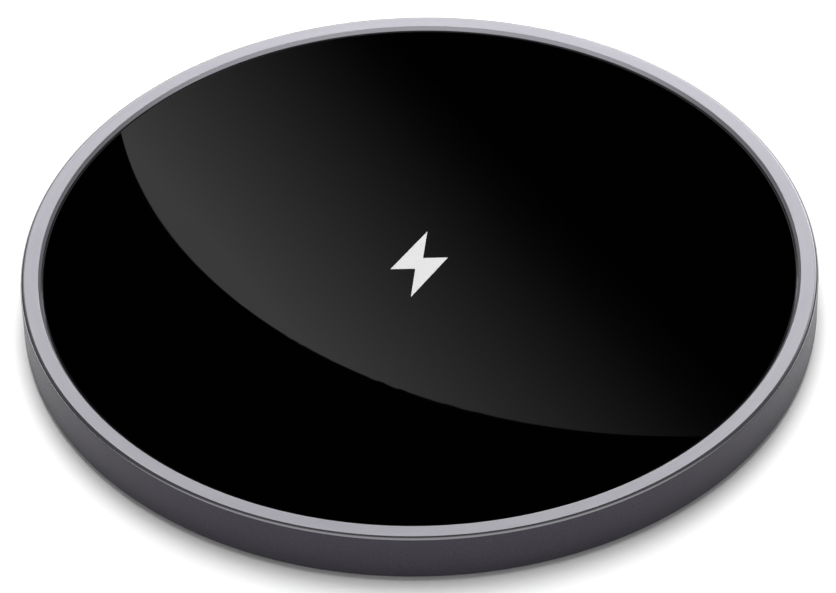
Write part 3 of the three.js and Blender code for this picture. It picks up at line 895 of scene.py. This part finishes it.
# ---- Coil, leads and sensor ----
COIL_INNER_RADIUS = 10 * MM
COIL_TURNS = 11
COIL_WIRE = 0.75 * MM
SENSOR_WIRE = 0.36 * MM
SOLDER_GAP = 0.03 * MM
SLOT_LEVEL = (ferrite_low.z + ferrite_high.z) / 2
BOARD_INNER = ferrite_high.x + 2 * MM


def transmitter_coil():
    """One flat layer of litz wire, wound as a spiral."""
    strand = (coil_high.z - coil_low.z) / 2
    first = COIL_INNER_RADIUS + strand
    last = coil_high.x - strand
    steps = 72 * COIL_TURNS
    route = []
    for i in range(steps + 1):
        angle = math.pi / 2 + 2 * math.pi * COIL_TURNS * i / steps
        radius = first + (last - first) * i / steps
        route.append(Vector((radius * math.cos(angle), radius * math.sin(angle), coil_low.z + strand)))
    return finish_mesh("transmitter_coil_wound", tube_mesh(route, strand * 0.97, 8), [LITZ])


def lead_route(x, start, level):
    """Under the coil in the ferrite's slot, then down on to the board."""
    edge = ferrite_high.x
    return [
        (x, start, SLOT_LEVEL),
        (x, (start + edge) / 2, SLOT_LEVEL),
        (x, edge - 2 * MM, SLOT_LEVEL),
        (x, edge - 0.5 * MM, SLOT_LEVEL),
        (x, edge + 1 * MM, (SLOT_LEVEL + level) / 2),
        (x, BOARD_INNER + 0.9 * MM, level),
    ]


def inner_lead():
    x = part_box("coil_lead_inner")[1].x - COIL_WIRE / 2
    level = board_high.z + SOLDER_GAP + COIL_WIRE / 2
    route = lead_route(x, COIL_INNER_RADIUS - 2.2 * MM, level)
    route += [(x - 0.5 * MM, BOARD_INNER + 3 * MM, level)]
    return finish_mesh("coil_lead_inner_twisted", tube_mesh(smooth_route(route), COIL_WIRE / 2), [LITZ])


def outer_lead():
    angle = math.radians(99)
    low_level = board_high.z + SOLDER_GAP + COIL_WIRE / 2
    high_level = ferrite_high.z + COIL_WIRE / 2 + BOND_GAP
    stops = [
        (coil_high.x + 0.6 * MM, high_level),
        (ferrite_high.x - 0.6 * MM, high_level),
        (ferrite_high.x + 0.5 * MM, high_level),
        (BOARD_INNER + 0.2 * MM, (high_level + low_level) / 2),
        (BOARD_INNER + 1.8 * MM, low_level),
        (BOARD_INNER + 3.4 * MM, low_level),
    ]
    route = [(r * math.cos(angle), r * math.sin(angle), z) for r, z in stops]
    return finish_mesh("coil_lead_outer_twisted", tube_mesh(smooth_route(route), COIL_WIRE / 2), [LITZ])


def sensor_wire(node):
    """From the sensor's end on the ferrite down into the slot, then out on to the board."""
    level = board_high.z + SOLDER_GAP + SENSOR_WIRE / 2
    x = middle(node).x
    sensor = middle("thermistor")
    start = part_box("thermistor")[1].y + BOND_GAP
    drop = start + 0.6 * MM
    route = [(x, start, sensor.z), (x, drop, sensor.z)]
    route += lead_route(x, drop + 2 * MM, level)
    route += [(x, BOARD_INNER + 2.4 * MM, level)]
    return finish_mesh(node + "_smooth", tube_mesh(smooth_route(route), SENSOR_WIRE / 2), [INSULATION])


stand_for(transmitter_coil(), "copper_litz", "transmitter_coil")
stand_for(inner_lead(), "copper_litz", "coil_lead_inner")
stand_for(outer_lead(), "copper_litz", "coil_lead_outer")
for wire_node in ("thermistor_wire_1", "thermistor_wire_2"):
    stand_for(sensor_wire(wire_node), "wire_insulation", wire_node)


# ---- Board and its components ----
BOARD_HALF_ANGLE = 38
LAND_RADIUS = 1.5 * MM  # of the plated ring round each screw's hole


def main_board():
    """An arc of laminate under green mask, notched for the inlet, with a plated ring at each screw."""
    low, high = board_low.z, board_high.z
    outer, inner = BOARD_OUTER, BOARD_INNER
    notch = PORT_WIDTH / 2 + FIT_GAP
    notch_angle = math.degrees(math.asin(notch / outer))
    notch_floor = shell_low.y - FIT_GAP
    outline = arc((0, 0), outer, 90 - BOARD_HALF_ANGLE, 90 - notch_angle, 32)
    outline += [(notch, notch_floor), (-notch, notch_floor)]
    outline += arc((0, 0), outer, 90 + notch_angle, 90 + BOARD_HALF_ANGLE, 32)
    outline += arc((0, 0), inner, 90 + BOARD_HALF_ANGLE, 90 - BOARD_HALF_ANGLE, 64)
    bm = plate_mesh(outline, low, high)
    bm.normal_update()
    for face in bm.faces:
        face.material_index = 0 if abs(face.normal.z) > 0.5 else 1
    board = finish_mesh("main_board_masked", bm, [MASK, LAMINATE, GOLD])
    land_low = high - 0.05 * MM
    land_high = high + 0.008 * MM
    land = [(BOARD_HOLE_RADIUS, land_low), (LAND_RADIUS, land_low), (LAND_RADIUS, land_high)]
    land += [(BOARD_HOLE_RADIUS, land_high)]
    holes = []
    lands = []
    for node in BOARD_SCREWS:
        place = middle(node)
        holes.append((rod_mesh(BOARD_HOLE_RADIUS, low - MM, high + MM, 32, 2), at(place.x, place.y)))
        lands.append((turned_mesh([(land, 2)], 32), at(place.x, place.y)))
    boolean(board, finish_mesh("lands", joined(lands), [MASK, LAMINATE, GOLD]), "UNION")
    return boolean(board, finish_mesh("board_holes", joined(holes), [MASK, LAMINATE, GOLD]), "DIFFERENCE")


def on_board(name, node, parts, turn_degrees, materials, slot):
    """Sets a component, built square about the origin, in its CAD node's place."""
    place = middle(node)
    piece = finish_mesh(name, joined(parts), materials)
    piece.data.transform(at(place.x, place.y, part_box(node)[0].z, math.radians(turn_degrees)))
    return stand_for(piece, slot, node)


def chip(node, side, height, turn_degrees, pads):
    """A leadless package: an epoxy body with a dot at its first corner and tinned pads round its foot."""
    parts = [(block_mesh((side - 0.1 * MM, side - 0.1 * MM, height), 0.05 * MM), at(0, 0))]
    corner = side / 2 - 0.6 * MM
    dot = [(0, height - 0.02 * MM), (0.22 * MM, height - 0.02 * MM), (0.2 * MM, height), (0, height)]
    parts.append((turned_mesh([(dot, 2)], 20), at(-corner, corner)))
    for k in range(4):
        for i in range(pads):
            along = (i - (pads - 1) / 2) * (side - 1 * MM) / (pads - 1)
            pad = block_mesh((0.24 * MM, 0.3 * MM, 0.2 * MM), 0.02 * MM, 1, 1)
            parts.append((pad, at(0, 0, 0, k * math.pi / 2) @ at(along, side / 2 - 0.15 * MM)))
    return on_board(node + "_package", node, parts, turn_degrees, [EPOXY, TIN, WHITE_PRINT], "chip_epoxy")


def capacitor(node, height, turn_degrees):
    """A ceramic body between two tinned ends."""
    length, depth = 3.2 * MM, 1.6 * MM
    end = 0.55 * MM
    body = block_mesh((length - end, depth - 0.06 * MM, height - 0.06 * MM), 0.05 * MM)
    parts = [(body, at(0, 0, 0.03 * MM))]
    for side in (-1, 1):
        parts.append((block_mesh((end, depth, height), 0.12 * MM, 1, 3), at(side * (length - end) / 2, 0)))
    return on_board(node + "_body", node, parts, turn_degrees, [CERAMIC, TIN], "capacitor_ceramic")


def inductor(node, side, height, turn_degrees):
    """A moulded choke: a rounded block with a raised round top over two wide tinned ends."""
    parts = [(block_mesh((side, side, height * 0.9), 0.25 * MM, 0, 4), at(0, 0))]
    top = [(0, height * 0.85), (side * 0.4, height * 0.85), (side * 0.4, height * 0.97)]
    top += [(side * 0.37, height), (0, height)]
    parts.append((turned_mesh([(top, 0)], 48), at(0, 0)))
    for k in (-1, 1):
        end = block_mesh((0.5 * MM, side * 0.6, height * 0.3), 0.05 * MM, 1)
        parts.append((end, at(k * (side / 2 - 0.24 * MM), 0)))
    return on_board(node + "_moulded", node, parts, turn_degrees, [EPOXY, TIN], "chip_epoxy")


stand_for(main_board(), "circuit_board", "main_board")
chip("controller_chip", 5 * MM, 0.9 * MM, -13, 8)
chip("bridge_chip", 4 * MM, 0.9 * MM, 14, 6)
inductor("power_inductor", 4.4 * MM, 1.9 * MM, -23)
for number in range(1, 5):
    capacitor("resonance_capacitor_" + str(number), 1.6 * MM, 24)
for number in range(1, 3):
    capacitor("input_capacitor_" + str(number), 1.4 * MM, -23)


# ---- CAD nodes that are carried over with a finished material ----
def repaint(node, material):
    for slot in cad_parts[node].material_slots:
        slot.link = "OBJECT"
        slot.material = material


repaint("charge_mark", WHITE_PRINT)
repaint("glass_adhesive", TAPE)
repaint("coil_adhesive", TAPE)
repaint("ferrite_shield", FERRITE)
repaint("foam_pad", FOAM)
repaint("thermistor", EPOXY)

# ---- Table ----
TABLE_HALF = 6.0


def table():
    bm = bmesh.new()
    bmesh.ops.create_grid(bm, x_segments=1, y_segments=1, size=TABLE_HALF)
    piece = finish_mesh("table_top", bm, [table_white()])


table()

# ---- Camera ----
# A long lens looks down on the pad from the front; the pad's middle lies a little above the picture's.
VIEW_ELEVATION = math.radians(40.8)
VIEW_ROLL = math.radians(1.28)
VIEW_DISTANCE = 12 * RING_RADIUS
VIEW_BELOW = 4.42 * MM
VIEW_LEFT = 0.24 * MM
SENSOR = 36.0
PAD_IN_FRAME = 0.9535  # the ring's diameter as a share of the picture's width, at its middle

pad_centre = Vector((0, 0, RING_TOP))


def add_camera():
    toward = Vector((0, -math.cos(VIEW_ELEVATION), math.sin(VIEW_ELEVATION)))
    right = Vector((1, 0, 0))
    up = toward.cross(right)
    place = pad_centre + toward * VIEW_DISTANCE
    target = pad_centre - up * VIEW_BELOW - right * VIEW_LEFT
    back = (place - target).normalized()
    side = up.cross(back).normalized()
    upright = back.cross(side)
    turn = Matrix((side, upright, back)).transposed() @ Matrix.Rotation(-VIEW_ROLL, 3, "Z")
    data = bpy.data.cameras.new("photo_camera")
    data.sensor_width = SENSOR
    data.lens = SENSOR * PAD_IN_FRAME * VIEW_DISTANCE / (2 * RING_RADIUS)
    data.clip_start = 0.01
    data.clip_end = 50
    camera = bpy.data.objects.new("photo_camera", data)
    camera.matrix_world = Matrix.Translation(place) @ turn.to_4x4()
    bpy.context.scene.collection.objects.link(camera)
    bpy.context.scene.camera = camera
    return place


camera_place = add_camera()


# ---- Light ----
# A row of soft lights, from overhead down towards the rear, lights the table and leaves the shadow in
# front. The metal mirrors a dark room with a pale front and a bright backdrop low at the rear, which
# fades towards the horizon.
KEY_COUNT = 7
KEY_STEP = 4.8  # degrees between the lights near overhead, which widen towards the rear
KEY_STEP_GROWTH = 0.3
KEY_SPREAD = math.radians(34)
KEY_STRENGTH = 3.2
BACKDROP_STRENGTH = 2.2
BACKDROP_SLOPE = 1.8
BACKDROP_SHIFT = 0.06
FRONT_STRENGTH = 0.40
AMBIENT_STRENGTH = 0.1
# Where each part of the room fades out and where it is full, in the axes of a unit direction.
BACKDROP_TOP = (0.72, 0.475)
BACKDROP_FOOT = (0.15, 0.52)
BACKDROP_SIDE = (0.56, 0.2)
BACKDROP_NEAR = (0.0, 0.3)
FRONT_EDGE = (0.05, -0.4)


def add_keys():
    for i in range(KEY_COUNT):
        tilt = math.radians(KEY_STEP * i + KEY_STEP_GROWTH * i ** 2)
        data = bpy.data.lights.new("overhead_light", "SUN")
        data.energy = KEY_STRENGTH / KEY_COUNT / math.cos(tilt)
        data.angle = KEY_SPREAD
        key = bpy.data.objects.new("overhead_light", data)
        key.rotation_euler = (-tilt, 0, 0)
        key.visible_glossy = False
        bpy.context.scene.collection.objects.link(key)


def add_room():
    world = bpy.data.worlds.new("room")
    room = Nodes(world)
    room.tree.nodes.clear()
    direction = room.add("ShaderNodeSeparateXYZ")
    room.link(room.add("ShaderNodeTexCoord").outputs["Generated"], direction.inputs[0])
    across, along, up = direction.outputs
    low = room.soft_step(up, *BACKDROP_TOP)
    behind = room.soft_step(along, *BACKDROP_NEAR)
    shifted = room.math("SUBTRACT", across, BACKDROP_SHIFT)
    narrow = room.soft_step(room.math("ABSOLUTE", shifted), *BACKDROP_SIDE)
    raised = room.soft_step(up, *BACKDROP_FOOT)
    backdrop = room.math("MULTIPLY", room.math("MULTIPLY", low, behind), narrow)
    backdrop = room.math("MULTIPLY", backdrop, raised)
    slope = room.math("ADD", room.math("MULTIPLY", across, BACKDROP_SLOPE), BACKDROP_STRENGTH)
    glow = room.math("MULTIPLY", backdrop, slope)
    glow = room.math("ADD", glow, AMBIENT_STRENGTH)
    front = room.math("MULTIPLY", room.soft_step(along, *FRONT_EDGE), FRONT_STRENGTH)
    glow = room.math("ADD", glow, front)
    mirrored = room.add("ShaderNodeBackground")
    room.link(glow, mirrored.inputs["Strength"])
    mirrored.inputs["Color"].default_value = (1, 1, 1, 1)
    seen = room.add("ShaderNodeBackground")
    seen.inputs["Color"].default_value = (1, 1, 1, 1)
    mix = room.add("ShaderNodeMixShader")
    room.link(room.add("ShaderNodeLightPath").outputs["Is Camera Ray"], mix.inputs[0])
    room.link(mirrored.outputs[0], mix.inputs[1])
    room.link(seen.outputs[0], mix.inputs[2])
    room.link(mix.outputs[0], room.add("ShaderNodeOutputWorld").inputs["Surface"])
    bpy.context.scene.world = world


# The patch on the glass, in ring radii from the pad's middle: a circle's edge on the left and front,
# fading along a direction that runs to the right and rear.
PATCH_CENTRE = (0.669, 0.801)
PATCH_RADIUS = 1.457
PATCH_TURN = math.radians(30)
PATCH_BRIGHT = -0.40
PATCH_DARK = 0.46
PATCH_FALL = 1.9
CARD_HEIGHT = 3.0
CARD_STRENGTH = 0.75
CARD_MARGIN = 0.968  # the card's radius, in ring radii: a little more than the glass


def add_card():
    """A level card high above and behind the pad, black apart from the patch. Seen in the glass, a level
    card keeps its shape, only larger, so it is the glass's own disc scaled about the mirrored camera."""
    depth = camera_place.z - GLASS_TOP
    scale = (depth + CARD_HEIGHT) / depth
    foot = Vector((camera_place.x, camera_place.y))
    unit = RING_RADIUS * scale
    m = Nodes(bpy.data.materials.new("card_glow"))
    ring_units = m.add("ShaderNodeVectorMath", operation="SCALE")
    ring_units.inputs["Scale"].default_value = 1 / unit
    m.link(m.place(), ring_units.inputs[0])
    along = m.add("ShaderNodeVectorMath", operation="DOT_PRODUCT")
    along.inputs[1].default_value = (math.cos(PATCH_TURN), math.sin(PATCH_TURN), 0)
    m.link(ring_units.outputs[0], along.inputs[0])
    fade = m.math("POWER", m.span(along.outputs["Value"], 1, 0, PATCH_BRIGHT, PATCH_DARK), PATCH_FALL)
    from_centre = m.add("ShaderNodeVectorMath", operation="DISTANCE")
    from_centre.inputs[1].default_value = (*PATCH_CENTRE, 0)
    m.link(ring_units.outputs[0], from_centre.inputs[0])
    inside = m.math("LESS_THAN", from_centre.outputs["Value"], PATCH_RADIUS)
    glow = m.add("ShaderNodeEmission")
    m.link(m.math("MULTIPLY", m.math("MULTIPLY", fade, inside), CARD_STRENGTH), glow.inputs["Strength"])
    m.link(glow.outputs[0], m.tree.nodes["Material Output"].inputs["Surface"])
    bm = bmesh.new()
    bmesh.ops.create_circle(bm, cap_ends=True, segments=256, radius=CARD_MARGIN * unit)
    card = finish_mesh("glass_card", bm, [m.material])
    card.location = (*(foot - foot * scale), GLASS_TOP + CARD_HEIGHT)
    card.visible_camera = False
    card.visible_diffuse = False
    card.visible_shadow = False
    card.visible_transmission = False


add_keys()
add_room()
add_card()
bpy.context.scene.view_settings.view_transform = "Standard"
